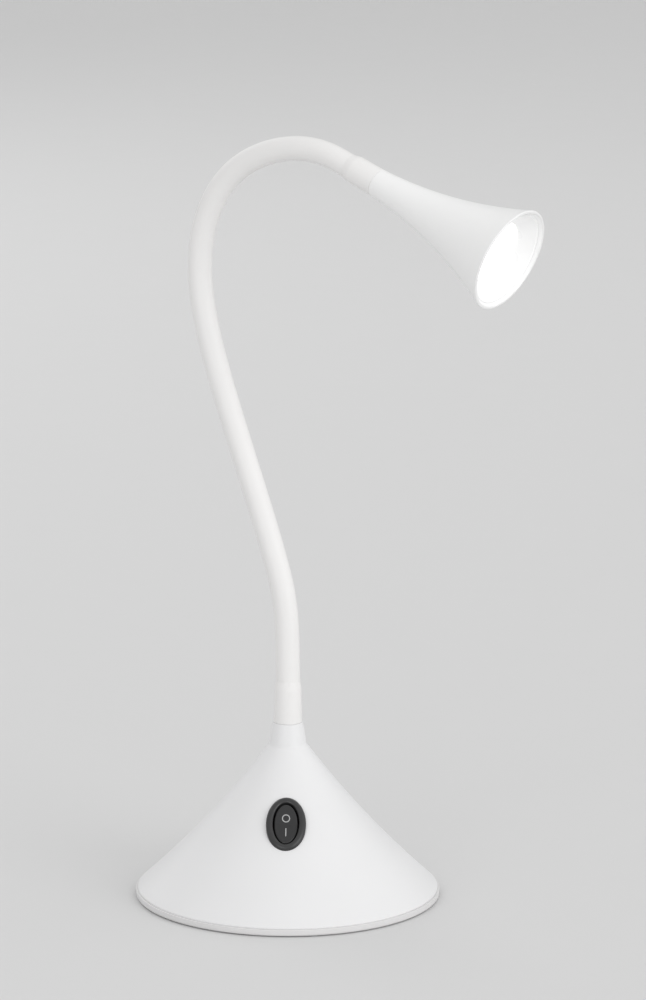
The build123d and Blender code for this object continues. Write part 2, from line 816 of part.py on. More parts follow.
# Driver board and what stands on it
driver_middle = driver_front + driver_w / 2


def driver_board():
    """Circuit board over the ballast."""
    body = Pos(0, driver_middle, driver_z + driver_t / 2) * Box(driver_l, driver_w, driver_t)
    hole = disc(driver_screw_d / 2 + screw_gap, driver_z - cut_past, driver_top + cut_past)
    return body - standoff_places() * hole


def board_standoffs():
    """Brass standoffs between the ballast and the board."""
    body = disc(standoff_d / 2, ballast_top, driver_z)
    body += disc(standoff_d / 4, ballast_top - standoff_stud, ballast_top)
    body -= disc(driver_screw_d / 2 + slip_gap, driver_top - driver_screw_l - seat_gap, driver_top)
    return copies(standoff_places(), body)


def board_screws():
    """Screws that hold the board to its standoffs."""
    body = disc(driver_screw_d / 2, driver_top - driver_screw_l, driver_top)
    body += disc(driver_screw_d, driver_top, driver_top + driver_head_h)
    return copies(standoff_places(), body)


def transformer():
    """Ferrite frame round a bobbin."""
    middle = driver_front + corner_inset + transformer_w / 2
    core = Box(transformer_l, transformer_w, transformer_h)
    window_h = transformer_window * transformer_h
    core -= Box(transformer_window * transformer_l, transformer_w + cut_past, window_h)
    core += Box(bobbin_share * transformer_l, transformer_w, window_h + slip_gap)
    return Pos(transformer_x, middle, driver_top + transformer_h / 2) * core


def capacitors():
    """Two upright capacitors."""
    middle = driver_front + capacitor_inset + capacitor_d / 2
    can = disc(capacitor_d / 2, driver_top, driver_top + capacitor_h)
    can = fillet(rims(can, capacitor_d / 2, driver_top + capacitor_h), capacitor_round)
    places = Locations((capacitor_x, middle), (capacitor_x, middle + capacitor_pitch))
    return copies(places, can)


def input_terminal():
    """Screw terminal block where the cable's wires end."""
    back = driver_front + driver_w - terminal_inset
    block = Box(terminal_block_l, terminal_block_w, terminal_block_h)
    wells = Locations((-terminal_block_l / 4, 0), (terminal_block_l / 4, 0))
    block -= wells * disc(terminal_block_l / 8, terminal_block_h / 4, terminal_block_h)
    mouth = Box(terminal_mouth, terminal_block_w, terminal_mouth)
    block -= wells * (Pos(0, terminal_block_w / 2, -terminal_block_h / 4) * mouth)
    return Pos(0, back - terminal_block_w / 2, driver_top + terminal_block_h / 2) * block


def switch_point(place, depth):
    """Place of a point behind the switch, in the part's frame."""
    return switch_frame.from_local_coords((0, place, switch_end - depth))


def base_leads():
    """Two short wires from the switch's terminals to the board."""
    pad_y = driver_front + corner_inset / 2
    pieces = []
    for place, pad_x, rise in zip((0.0, terminal_pitch), lead_pads, lead_rises):
        start = switch_point(place, terminal_l)
        straight = switch_point(place, terminal_l + lead_straight)
        over = Vector(pad_x, pad_y - lead_run, driver_top + rise)
        above = Vector(pad_x, pad_y, driver_top + rise)
        pad = Vector(pad_x, pad_y, driver_top)
        pieces.append(wire_tube((start, straight, over, above, pad), lead_bends, lead_d))
    return Compound(children=pieces)


def neck_wires():
    """Two-core wire from the driver board up through the neck to the diodes' board."""
    pad = Vector(capacitor_x - capacitor_d / 2, driver_front + wire_inset, driver_top)
    knee = Vector(pad.X, pad.Y, driver_top + wire_rise)
    turn_in = Vector(0, 0, seat_z - washer_t - nut_t - stud_tail - wire_drop)
    foot = neck_point(stations[0])
    lower = FilletPolyline(pad, knee, turn_in, foot, radius=wire_bend)
    edges = list(lower.edges())
    for number in range(segment_count):
        edges.append(run_edge(stations[number], segment_l, segment_turns[number]))
    edges.append(run_edge(stations[-1], neck_head_l + led_back))
    path = Wire(edges)
    return sweep(Plane(origin=pad, z_dir=(0, 0, 1)) * Circle(wire_d / 2), path)


pieces = {
    "foot_pad": foot_pad(),
    "bottom_cover": bottom_cover(),
    "cover_screws": cover_screws(),
    "ballast_screws": ballast_screws(),
    "ballast_plate": ballast_plate(),
    "base_shell": base_shell(),
    "cable_bush": cable_bush(),
    "lower_ferrule": lower_ferrule(),
    "neck_washer": neck_washer(),
    "neck_nut": neck_nut(),
    "lower_cuff": lower_cuff(),
    "upper_cuff": upper_cuff(),
    "upper_ferrule": upper_ferrule(),
    "switch_housing": switch_housing(),
    "rocker": tilted(rocker_body(), rocker_tilt, -pivot_depth),
    "switch_plunger": tilted(plunger(), rocker_tilt, -pivot_depth),
    "switch_spring": tilted(spring(), rocker_tilt, -pivot_depth),
    "contact_bar": contact_bar(),
    "switch_terminals": switch_terminals(),
    "head_shell": head_shell(),
    "reflector": reflector(),
    "diffuser": diffuser(),
    "led_board": led_board(),
    "led_emitters": led_emitters(),
    "heat_sink": heat_sink(),
    "led_screws": led_screws(),
    "driver_board": driver_board(),
    "board_standoffs": board_standoffs(),
    "board_screws": board_screws(),
    "transformer": transformer(),
    "capacitors": capacitors(),
    "input_terminal": input_terminal(),
    "base_leads": base_leads(),
    "neck_wires": neck_wires(),
}
for segment in range(1, segment_count + 1):
    pieces[f"neck_sleeve_{segment:02d}"] = neck_sleeve(segment)
    pieces[f"neck_coil_{segment:02d}"] = neck_coil(segment)
for piece_name, piece in pieces.items():
    save(piece_name, piece)
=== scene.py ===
# %% [markdown]
# # A small desk lamp with a bendable neck
# The lamp is white plastic: a flared round base with a black rocker switch, a soft sleeve over a
# bendable steel coil, and a trumpet-shaped head with a light in its mouth. The exact sizes come
# from the engineering model, which is loaded first as a fixed frame. What the eye rests on is then
# made again as smooth surfaces, each a formula on a grid of points, and every piece gets a finish
# built from nodes. All lengths are in metres, +Z is up and -Y is the switch's side.

# %% Load the frame
import json
import math
import bpy
import numpy as np
from mathutils import Euler, Matrix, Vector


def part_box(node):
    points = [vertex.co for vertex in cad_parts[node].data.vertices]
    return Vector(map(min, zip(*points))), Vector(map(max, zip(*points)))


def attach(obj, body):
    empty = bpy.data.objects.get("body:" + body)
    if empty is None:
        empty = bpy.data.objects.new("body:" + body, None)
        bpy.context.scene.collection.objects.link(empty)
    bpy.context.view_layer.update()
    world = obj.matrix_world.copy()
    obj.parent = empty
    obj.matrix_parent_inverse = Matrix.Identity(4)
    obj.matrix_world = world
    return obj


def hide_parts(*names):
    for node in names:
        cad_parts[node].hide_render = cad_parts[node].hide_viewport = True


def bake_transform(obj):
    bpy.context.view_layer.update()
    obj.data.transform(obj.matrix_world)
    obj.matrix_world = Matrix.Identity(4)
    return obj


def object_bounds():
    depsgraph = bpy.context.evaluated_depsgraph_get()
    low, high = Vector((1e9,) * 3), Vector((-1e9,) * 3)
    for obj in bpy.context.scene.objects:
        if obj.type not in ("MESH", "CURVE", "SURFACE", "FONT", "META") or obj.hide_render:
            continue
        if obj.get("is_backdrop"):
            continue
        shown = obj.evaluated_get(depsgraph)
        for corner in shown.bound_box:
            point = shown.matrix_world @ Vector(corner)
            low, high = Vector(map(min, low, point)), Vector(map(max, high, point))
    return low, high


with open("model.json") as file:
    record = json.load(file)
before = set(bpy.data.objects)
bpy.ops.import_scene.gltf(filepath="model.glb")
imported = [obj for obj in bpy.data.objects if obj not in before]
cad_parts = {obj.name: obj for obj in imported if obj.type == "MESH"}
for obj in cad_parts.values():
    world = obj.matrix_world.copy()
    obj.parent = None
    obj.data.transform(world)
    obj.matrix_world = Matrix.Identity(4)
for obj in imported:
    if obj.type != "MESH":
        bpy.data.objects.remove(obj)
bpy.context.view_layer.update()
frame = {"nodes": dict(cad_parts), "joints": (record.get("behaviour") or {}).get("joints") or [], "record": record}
nodes = frame["nodes"]
joint_at = {joint["name"]: np.array(joint["pos_m"]) for joint in frame["joints"] if "pos_m" in joint}
print("nodes:", len(nodes), "joints:", len(joint_at))

# %% [markdown]
# ## The camera
# A product photograph is taken from far away with a long lens, so that the lamp keeps its
# proportions. The camera stands 2 m from the base and about 0.6 m up, a touch to the right of the
# switch. It looks down by 12.3 degrees, and its long lens makes the lamp fill the upright picture.

# %% Place the camera
camera_azimuth = math.radians(1.5)
camera_distance = 2.0
camera_height = 0.59623
look_down = math.radians(12.328)
look_right = math.radians(0.3877)
camera_roll = math.radians(0.15)
lens_over_sensor = 5.26123

camera_data = bpy.data.cameras.new("camera")
camera = bpy.data.objects.new("camera", camera_data)
bpy.context.scene.collection.objects.link(camera)
camera_data.sensor_width = 36.0
camera_data.lens = lens_over_sensor * camera_data.sensor_width
camera_data.clip_end = 50.0
camera_x = camera_distance * math.sin(camera_azimuth)
camera_y = -camera_distance * math.cos(camera_azimuth)
camera.location = (camera_x, camera_y, camera_height)
level = Euler((math.pi / 2 - look_down, 0.0, camera_azimuth - look_right)).to_matrix()
camera.rotation_euler = (level @ Matrix.Rotation(camera_roll, 3, "Z")).to_euler()
bpy.context.scene.camera = camera
print("lens in mm:", round(camera_data.lens, 1))

# %% [markdown]
# ## Surfaces from grids
# A turned or moulded piece is a closed outline carried round an axis, and a sleeve is a circle
# carried along a path. Both are a grid of points: rows one way, columns the other. One helper turns
# such a grid into a mesh, closes it on itself where asked, and shrinks a row of equal points, such
# as the tip of a dome, to a single one.

# %% The grid helper
def grid_mesh(name, points, closed=False):
    """Mesh of a grid of points, rows by columns by 3, whose columns always close into rings.

    Point (i, j) joins its neighbours (i+1, j) and (i, j+1) in a four-sided face. A closed grid's last
    row also joins the first. Equal points are merged, so a pole becomes a fan of triangles.
    """
    flat = points.reshape(-1, 3)
    _, first, same = np.unique(np.round(flat, 8), axis=0, return_index=True, return_inverse=True)
    here = same.reshape(points.shape[:2])
    beside = np.roll(here, -1, axis=1)
    above = np.roll(here, -1, axis=0)
    above_beside = np.roll(beside, -1, axis=0)
    quads = np.stack([here, beside, above_beside, above], axis=-1)
    quads = quads if closed else quads[:-1]
    faces = [list(dict.fromkeys(quad)) for quad in quads.reshape(-1, 4).tolist()]
    mesh = bpy.data.meshes.new(name)
    mesh.from_pydata(flat[first].tolist(), [], [face for face in faces if len(face) > 2])
    mesh.validate()
    return mesh


smooth_limit_deg = 35.0


def finished(name, points, material, closed=False, sharp_deg=smooth_limit_deg):
    """Piece made of a grid, shaded smooth except where its faces meet at more than the given angle."""
    mesh = grid_mesh(name, points, closed)
    mesh.polygons.foreach_set("use_smooth", [True] * len(mesh.polygons))
    mesh.set_sharp_from_angle(angle=math.radians(sharp_deg))
    piece = bpy.data.objects.new(name, mesh)
    bpy.context.scene.collection.objects.link(piece)
    mesh.materials.append(material)
    print(name, "faces:", len(mesh.polygons))
    return piece


def stand_for(piece, body, *names):
    """Let a piece ride on a body in place of nodes of the engineering model."""
    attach(piece, body)
    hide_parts(*names)


def rounded_outline(corners, radii, steps=8):
    """Closed outline of corners, each rounded by an arc of its own radius; works in space too.

    An arc starts and ends radius / tan(half the corner's angle) from its corner, and its centre lies
    on the corner's bisector at radius / sin(half the angle). A radius of 0 keeps the corner.
    """
    corners = np.array(corners, float)
    befores, afters = np.roll(corners, 1, 0), np.roll(corners, -1, 0)
    share = np.linspace(0, 1, steps + 1)[:, None]
    pieces = []
    for here, before, after, radius in zip(corners, befores, afters, radii):
        if radius <= 0:
            pieces.append(here[None, :])
            continue
        back = (before - here) / np.linalg.norm(before - here)
        ahead = (after - here) / np.linalg.norm(after - here)
        half = math.acos(np.clip(back @ ahead, -1, 1)) / 2
        centre = here + (back + ahead) / np.linalg.norm(back + ahead) * radius / math.sin(half)
        start = here + back * radius / math.tan(half) - centre
        end = here + ahead * radius / math.tan(half) - centre
        sweep = math.pi - 2 * half
        arc = np.sin((1 - share) * sweep) * start + np.sin(share * sweep) * end
        pieces.append(centre + arc / math.sin(sweep))
    return np.concatenate(pieces)


# %% A turned piece
def turned(outline, place=None, columns=192):
    """Grid of an outline of (radius, height) points turned once about an axis.

    place is (origin, x, y, z) of the axis, z along it. A point is origin + radius * (x cos a + y sin a)
    + height * z, for every angle a.
    """
    origin, x, y, z = place or (np.zeros(3), *np.eye(3))
    angle = np.linspace(0, 2 * math.pi, columns, endpoint=False)
    ring = np.cos(angle)[:, None] * x + np.sin(angle)[:, None] * y
    return origin + outline[:, 0, None, None] * ring[None] + outline[:, 1, None, None] * z


def flare(start, end, sag, share, depth=0.0):
    """Points of the shallow arc between two (radius, height) points, hanging in towards the axis.

    At share s the chord's point moves in by 4 * sag * s * (1 - s), square to the chord, which is the
    flat parabola that such an arc is, and by depth more for the inside of a wall.
    """
    start, end, share = np.array(start), np.array(end), np.asarray(share)[:, None]
    length = np.linalg.norm(end - start)
    along = (end - start) / length
    across = np.array([-along[1], along[0]])
    slope = 4 * sag * (1 - 2 * share) / length
    inward = (across - slope * along) / np.sqrt(1 + slope ** 2)
    return start + (end - start) * share + 4 * sag * share * (1 - share) * across + depth * inward


def radius_at(outline, height):
    """Radius of a rising outline of (radius, height) points at a height."""
    return float(np.interp(height, outline[:, 1], outline[:, 0]))


# %% [markdown]
# ## Finishes
# Moulded plastic is never one flat colour: its surface carries the mould's fine texture, and its
# gloss varies a little over a few centimetres. Two noises do this. A fine one, as small as the
# mould's grain, is a bump, and a broad one moves the roughness and the colour by a few percent.

# %% The node helper and the moulded plastic
def add(tree, kind, **values):
    """One node of a material, with attributes and inputs set by name."""
    node = tree.nodes.new(kind)
    for key, value in values.items():
        if hasattr(node, key):
            setattr(node, key, value)
        else:
            node.inputs[key.replace("_", " ")].default_value = value
    return node


def blank(name):
    """A material with only its shader, its node tree and the object coordinates."""
    material = bpy.data.materials.new(name)
    material.use_nodes = True
    tree = material.node_tree
    shader = tree.nodes["Principled BSDF"]
    place = add(tree, "ShaderNodeTexCoord").outputs["Object"]
    return material, tree, shader, place


def vary(tree, source, low, high, socket):
    """Spread a noise's middle range between two values on a socket."""
    spread = add(tree, "ShaderNodeMapRange", From_Min=0.3, From_Max=0.7, To_Min=low, To_Max=high)
    tree.links.new(source, spread.inputs["Value"])
    tree.links.new(spread.outputs["Result"], socket)


def tint(tree, source, first, second, socket):
    """Mix two colours by a noise on a colour socket."""
    mix = add(tree, "ShaderNodeMix", data_type="RGBA")
    mix.inputs["A"].default_value = (*first, 1.0)
    mix.inputs["B"].default_value = (*second, 1.0)
    tree.links.new(source, mix.inputs["Factor"])
    tree.links.new(mix.outputs["Result"], socket)


def moulded(name, colour, roughness, grain=0.00025, depth=0.000006, mottle=0.03):
    """Moulded plastic: grain is the size of the mould's texture and depth its height, in metres.

    mottle is the share of the colour that its darkest spots lose.
    """
    material, tree, shader, place = blank(name)
    fine = add(tree, "ShaderNodeTexNoise", Scale=1 / grain, Detail=3.0)
    broad = add(tree, "ShaderNodeTexNoise", Scale=35.0, Detail=2.0)
    tree.links.new(place, fine.inputs["Vector"])
    tree.links.new(place, broad.inputs["Vector"])
    bump = add(tree, "ShaderNodeBump", Strength=0.6, Distance=depth)
    tree.links.new(fine.outputs["Fac"], bump.inputs["Height"])
    tree.links.new(bump.outputs["Normal"], shader.inputs["Normal"])
    vary(tree, broad.outputs["Fac"], roughness * 0.9, roughness * 1.1, shader.inputs["Roughness"])
    darker = tuple(value * (1 - mottle) for value in colour)
    tint(tree, broad.outputs["Fac"], darker, colour, shader.inputs["Base Color"])
    shader.inputs["IOR"].default_value = 1.48
    return material


base_white = moulded("base_white", (0.775, 0.775, 0.78), 0.42)
cover_white = moulded("cover_white", (0.7, 0.695, 0.695), 0.45)
head_white = moulded("head_white", (0.87, 0.87, 0.868), 0.42)
neck_white = moulded("neck_white", (0.815, 0.807, 0.8), 0.5, grain=0.0004, depth=0.00001, mottle=0.02)
dish_white = moulded("dish_white", (0.91, 0.91, 0.91), 0.28, depth=0.000002, mottle=0.01)
switch_black = moulded("switch_black", (0.033, 0.033, 0.034), 0.3, grain=0.0002, depth=0.00001, mottle=0.2)
rocker_black = moulded("rocker_black", (0.018, 0.018, 0.019), 0.36, grain=0.0002, depth=0.00001, mottle=0.2)
mark_grey = moulded("mark_grey", (0.42, 0.42, 0.42), 0.45, mottle=0.05)
bush_grey = moulded("bush_grey", (0.7, 0.7, 0.7), 0.55, mottle=0.04)
foam_grey = moulded("foam_grey", (0.1, 0.1, 0.105), 0.9, grain=0.0006, depth=0.0001, mottle=0.25)
print("moulded finishes:", len(bpy.data.materials))

# %% [markdown]
# ## The light in the head
# The diffuser is a milky disc with diodes behind it. It glows evenly, so its shader gives out light
# of its own on top of a satin surface.

# %% The diffuser's glow
def glowing(name, colour, strength):
    """Milky plastic that gives out even light, under a surface whose gloss varies softly."""
    material, tree, shader, place = blank(name)
    soft = add(tree, "ShaderNodeTexNoise", Scale=90.0, Detail=1.0)
    tree.links.new(place, soft.inputs["Vector"])
    vary(tree, soft.outputs["Fac"], 0.3, 0.4, shader.inputs["Roughness"])
    tint(tree, soft.outputs["Fac"], (0.86, 0.86, 0.86), (0.9, 0.9, 0.9), shader.inputs["Base Color"])
    shader.inputs["Emission Color"].default_value = (*colour, 1.0)
    shader.inputs["Emission Strength"].default_value = strength
    return material


diffuser_glow = glowing("diffuser_glow", (1.0, 0.995, 0.98), 1.5)
print("glow:", diffuser_glow.name)

# %% [markdown]
# ## Finishes of what is inside
# Turned steel, cast weights, brass and circuit boards are hidden in the base and the head, but they
# are real pieces, so each has its own finish. Turned metal has fine scratches that run round it,
# which is a noise squeezed along the axis. A board has copper tracks under its lacquer, which
# show as slightly lighter lines.

# %% Metals and boards
def scratched(name, colour, roughness, across=(900.0, 900.0, 6000.0)):
    """Worked metal: a noise stretched by three scales moves the roughness and a small bump."""
    material, tree, shader, place = blank(name)
    stretch = add(tree, "ShaderNodeMapping")
    stretch.inputs["Scale"].default_value = across
    lines = add(tree, "ShaderNodeTexNoise", Scale=1.0, Detail=2.0)
    tree.links.new(place, stretch.inputs["Vector"])
    tree.links.new(stretch.outputs["Vector"], lines.inputs["Vector"])
    vary(tree, lines.outputs["Fac"], roughness * 0.7, roughness * 1.3, shader.inputs["Roughness"])
    bump = add(tree, "ShaderNodeBump", Strength=0.3, Distance=0.00001)
    tree.links.new(lines.outputs["Fac"], bump.inputs["Height"])
    tree.links.new(bump.outputs["Normal"], shader.inputs["Normal"])
    darker = tuple(value * 0.9 for value in colour)
    tint(tree, lines.outputs["Fac"], darker, colour, shader.inputs["Base Color"])
    shader.inputs["Metallic"].default_value = 1.0
    return material


def lacquered(name, lacquer, track):
    """Circuit board: square tracks of a second colour, from a brick pattern, under a glossy lacquer."""
    material, tree, shader, place = blank(name)
    tracks = add(tree, "ShaderNodeTexBrick", Scale=220.0, Mortar_Size=0.06)
    tracks.inputs["Color1"].default_value = (*lacquer, 1.0)
    tracks.inputs["Color2"].default_value = (*[value * 0.92 for value in lacquer], 1.0)
    tracks.inputs["Mortar"].default_value = (*track, 1.0)
    tree.links.new(place, tracks.inputs["Vector"])
    tree.links.new(tracks.outputs["Color"], shader.inputs["Base Color"])
    shader.inputs["Roughness"].default_value = 0.3
    return material


inner_finish = {
    "base_white": base_white,
    "neck_white": neck_white,
    "head_white": head_white,
    "dish_white": dish_white,
    "diffuser_milk": diffuser_glow,
    "switch_black": switch_black,
    "foam_grey": foam_grey,
    "bush_grey": bush_grey,
    "steel": scratched("steel", (0.6, 0.6, 0.61), 0.3),
    "ballast_steel": scratched("ballast_steel", (0.4, 0.4, 0.41), 0.55, across=(4000.0, 400.0, 4000.0)),
    "sink_aluminium": scratched("sink_aluminium", (0.8, 0.8, 0.81), 0.35),
    "brass": scratched("brass", (0.75, 0.57, 0.28), 0.3),
    "board_green": lacquered("board_green", (0.02, 0.12, 0.05), (0.05, 0.22, 0.09)),
    "board_white": lacquered("board_white", (0.82, 0.82, 0.8), (0.72, 0.72, 0.7)),
    "led_yellow": moulded("led_yellow", (0.85, 0.7, 0.2), 0.3),
    "capacitor_blue": moulded("capacitor_blue", (0.03, 0.05, 0.16), 0.35),
    "ferrite": moulded("ferrite", (0.05, 0.05, 0.055), 0.7, grain=0.0006, mottle=0.3),
    "terminal_green": moulded("terminal_green", (0.05, 0.25, 0.12), 0.4),
    "wire_black": moulded("wire_black", (0.02, 0.02, 0.02), 0.5),
}
for entry in frame["record"]["subparts"]:
    mesh = nodes[entry["node"]].data
    mesh.materials.clear()
    mesh.materials.append(inner_finish[entry["material_slot"]])

# %% [markdown]
# ## The base
# The shell is one moulding: a slope that hangs in slightly, like a cloth between two rails, and a
# short tapered collar. It could be kept from the engineering model, but that mesh is loose
# triangles, which show on a big pale surface. So the same outline is turned again in even rings,
# and the switch's and the cable's openings are cut with a Boolean modifier that is applied at once.

# %% The base's outline
mm = 0.001
foot_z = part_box("base_shell")[0][2]
collar_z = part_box("base_shell")[1][2]
cover_low_z, cover_top_z = (corner[2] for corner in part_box("bottom_cover"))
base_r = 60.0 * mm
foot_inset, foot_round = 0.6 * mm, 0.5 * mm
foot_r = base_r - foot_inset
collar_h = 8.8 * mm
collar_r = 5.9 * mm
collar_blend, collar_edge = 3.0 * mm, 0.25 * mm
slope_top = collar_z - collar_h
slope_top_r = 7.35 * mm
slope_sag = 1.95 * mm
shell_wall = 2.2 * mm
seat_depth = 9.3 * mm
seat_z = slope_top - seat_depth
stud_hole_r = 4.1 * mm

# The slope's points stop short of its ends, which leaves room for the arcs of the foot and the
# collar, and the inside stops where it meets the seat of the neck's stud.
foot_share, collar_share, seat_share = 0.042, 0.985, 0.82
slope_ends = ((foot_r, foot_z), (slope_top_r, slope_top))
outside = flare(*slope_ends, slope_sag, np.linspace(foot_share, collar_share, 64))
inside = flare(*slope_ends, slope_sag, np.linspace(0.0, seat_share, 40), depth=shell_wall)
collar = [
    (slope_top_r, slope_top), (collar_r, collar_z), (stud_hole_r, collar_z), (stud_hole_r, seat_z),
    (inside[-1, 0], seat_z),
]
shell_corners = np.concatenate([[(foot_r, foot_z)], outside, collar, inside[::-1]])
shell_radii = [foot_round] + [0] * len(outside) + [collar_blend, collar_edge] + [0] * (3 + len(inside))
shell_outline = rounded_outline(shell_corners, shell_radii)
print("outline points:", len(shell_outline), "base diameter in mm:", round(base_r * 2000, 1))

# %% [markdown]
# ## The switch's frame
# The switch stands square to the slope at its own height. Its frame's z axis is the slope's outward
# normal there, which is square to a short step along the outline. The switch, its opening and the
# rocker all use this frame.

# %% Frames, and the tools that cut openings
right, up = np.array([1.0, 0.0, 0.0]), np.array([0.0, 0.0, 1.0])
switch_z = 35.95 * mm
step = 0.1 * mm
slope_run = (radius_at(outside, switch_z - step) - radius_at(outside, switch_z + step)) / (2 * step)
switch_origin = np.array([0.0, -radius_at(outside, switch_z), switch_z])
switch_out = np.array([0.0, -1.0, slope_run]) / math.hypot(1.0, slope_run)
switch_place = (switch_origin, right, np.cross(switch_out, right), switch_out)
inlet_z = 9.55 * mm
inlet_place = (inlet_z * up, right, -up, np.array([0.0, 1.0, 0.0]))
print("switch faces up by degrees:", round(math.degrees(math.asin(switch_out[2])), 1))


def ovals(rows, place, columns=192):
    """Grid of oval rings: each row is (half width, half length, height) on a frame.

    A point is origin + half width * cos a * x + half length * sin a * y + height * z.
    """
    origin, x, y, z = place
    rows = np.array(rows)[:, :, None, None]
    angle = np.linspace(0, 2 * math.pi, columns, endpoint=False)[:, None]
    return origin + rows[:, 0] * np.cos(angle) * x + rows[:, 1] * np.sin(angle) * y + rows[:, 2] * z


def oval_cutter(name, width, length, low, high, place):
    """Closed oval prism on a frame, from one height to another, all in millimetres."""
    rim = (width / 2, length / 2)
    rows = np.array([(0, 0, low), (*rim, low), (*rim, high), (0, 0, high)]) * mm
    return bpy.data.objects.new(name, grid_mesh(name, ovals(rows, place, 160)))


def cut(piece, cutters):
    """Take the cutters away from a piece with exact Booleans, applied at once, and drop them."""
    for cutter in cutters:
        bpy.context.scene.collection.objects.link(cutter)
        modifier = piece.modifiers.new(cutter.name, "BOOLEAN")
        modifier.operation = "DIFFERENCE"
        modifier.solver = "EXACT"
        modifier.object = cutter
    bpy.context.view_layer.update()
    evaluated = piece.evaluated_get(bpy.context.evaluated_depsgraph_get())
    mesh = bpy.data.meshes.new_from_object(evaluated)
    piece.modifiers.clear()
    piece.data = mesh
    mesh.set_sharp_from_angle(angle=math.radians(smooth_limit_deg))
    for cutter in cutters:
        bpy.data.objects.remove(cutter)
    print(piece.name, "faces after cutting:", len(mesh.polygons))


# %% The base shell, its openings and its bosses
bezel_w, bezel_l, pocket_depth = 15.6, 22.6, 0.8
switch_w, switch_l, switch_deep = 12.9, 20.7, 11.8
fit_gap = 0.3
inlet_hole_d = 8.2
shell_grid = turned(shell_outline, columns=256)
base_shell = finished("base_shell_surface", shell_grid, base_white, closed=True)
# Each cutter reaches past the wall on both sides, apart from the pocket's, which stops in it.
cut(base_shell, [
    oval_cutter("pocket", bezel_w + fit_gap, bezel_l + fit_gap, -pocket_depth, 9.0, switch_place),
    oval_cutter("body_hole", switch_w + fit_gap, switch_l + fit_gap, -12.0, 1.0, switch_place),
    oval_cutter("inlet_hole", inlet_hole_d, inlet_hole_d, 40.0, 70.0, inlet_place),
])
stand_for(base_shell, "base", "base_shell")

boss_ring_r, boss_sink = 46 * mm, 1.5 * mm
boss_bore, boss_r, boss_high = 1.5 * mm, 3.4 * mm, 10.0 * mm
boss_angle = np.radians([30.0, 150.0, 270.0])
boss_middle = boss_ring_r * np.column_stack([np.cos(boss_angle), np.sin(boss_angle), np.zeros(3)])
boss_outline = np.array([
    (boss_bore, cover_top_z), (boss_r, cover_top_z), (boss_r, boss_high), (boss_bore, boss_high),
])
# The top of a boss follows the slope, a little below its outside, so that it ends in the wall.
for number, middle in enumerate(boss_middle, 1):
    boss_grid = turned(boss_outline, columns=64) + middle
    reach = np.hypot(boss_grid[2:, :, 0], boss_grid[2:, :, 1])
    boss_grid[2:, :, 2] = np.interp(-reach, -outside[:, 0], outside[:, 1]) - boss_sink
    boss = finished(f"base_boss_{number}", boss_grid, base_white, closed=True)
    stand_for(boss, "base", "base_shell")

# %% [markdown]
# ## The bottom cover and the cable's bush
# The cover is moulded apart, in a slightly greyer white, and its edge shows as a thin rim below a dark
# seam line. The edge is crisp at the seam and rounded at the bottom, so that it doesn't scratch a
# table. The bush stands in the round opening at the back.

# %% Cover and bush
step_h = 1.05 * mm
rim_top = cover_top_z - step_h
step_r = radius_at(inside, cover_top_z) - fit_gap * mm
pad_r, pad_z = 52.3 * mm, 1.6 * mm
cover_corners = [
    (0, pad_z), (pad_r, pad_z), (pad_r, cover_low_z), (base_r, cover_low_z),
    (base_r, rim_top), (step_r, rim_top), (step_r, cover_top_z), (0, cover_top_z),
]
cover_outline = rounded_outline(cover_corners, np.array([0, 0, 0.2, 1.0, 0.2, 0, 0.2, 0]) * mm)
cover_grid = turned(cover_outline, columns=256)
bottom_cover = finished("bottom_cover_surface", cover_grid, cover_white)
stand_for(bottom_cover, "base", "bottom_cover")

bush_bore, bush_r, flange_r = 3.1, 4.05, 5.25
bush_back, flange_face, bush_front = 42.5, 44.0, 56.0
bush_corners = np.array([
    (bush_bore, bush_back), (flange_r, bush_back), (flange_r, flange_face),
    (bush_r, flange_face), (bush_r, bush_front), (bush_bore, bush_front),
]) * mm
bush_outline = rounded_outline(bush_corners, np.array([0, 0.2, 0, 0, 0.45, 0.3]) * mm)
bush_grid = turned(bush_outline, inlet_place, 96)
cable_bush = finished("cable_bush_surface", bush_grid, bush_grey, closed=True)
stand_for(cable_bush, "base", "cable_bush")

# %% [markdown]
# ## The neck's centre line
# The neck is a chain of twelve arcs, each 22 mm long, and each turns the heading by its own angle. The
# joints of the engineering model are where two arcs meet. A point on an arc is the sum of small steps
# along the heading, so the headings at many small steps are added up, and the sums at the joints are
# compared with the joints' own places.

# %% Sum the centre line
azimuth = math.radians(-33.5)
outward = np.array([math.cos(azimuth), math.sin(azimuth), 0.0])
side = np.array([math.sin(azimuth), -math.cos(azimuth), 0.0])
segment_l = 22 * mm
turns = np.radians([2.7, 15.0, 3.5, 0.4, -0.6, -2.4, -7.6, -17.7, -24.9, -29.0, -22.5, -28.6])
neck_foot_l, neck_head_l = 15.6 * mm, 19.0 * mm
steps = 44

turn_rate = np.repeat(turns / steps, steps)
heading = math.pi / 2 + np.concatenate([[0.0], np.cumsum(turn_rate)])
middle_heading = (heading[:-1] + heading[1:]) / 2
travel = np.column_stack([np.cos(middle_heading), np.sin(middle_heading)]) * segment_l / steps
line = np.concatenate([[(0.0, 0.0)], np.cumsum(travel, axis=0)])
line[:, 1] += collar_z + neck_foot_l
centre_line = line[:, :1] * outward + line[:, 1:] * up
line_way = np.cos(heading)[:, None] * outward + np.sin(heading)[:, None] * up

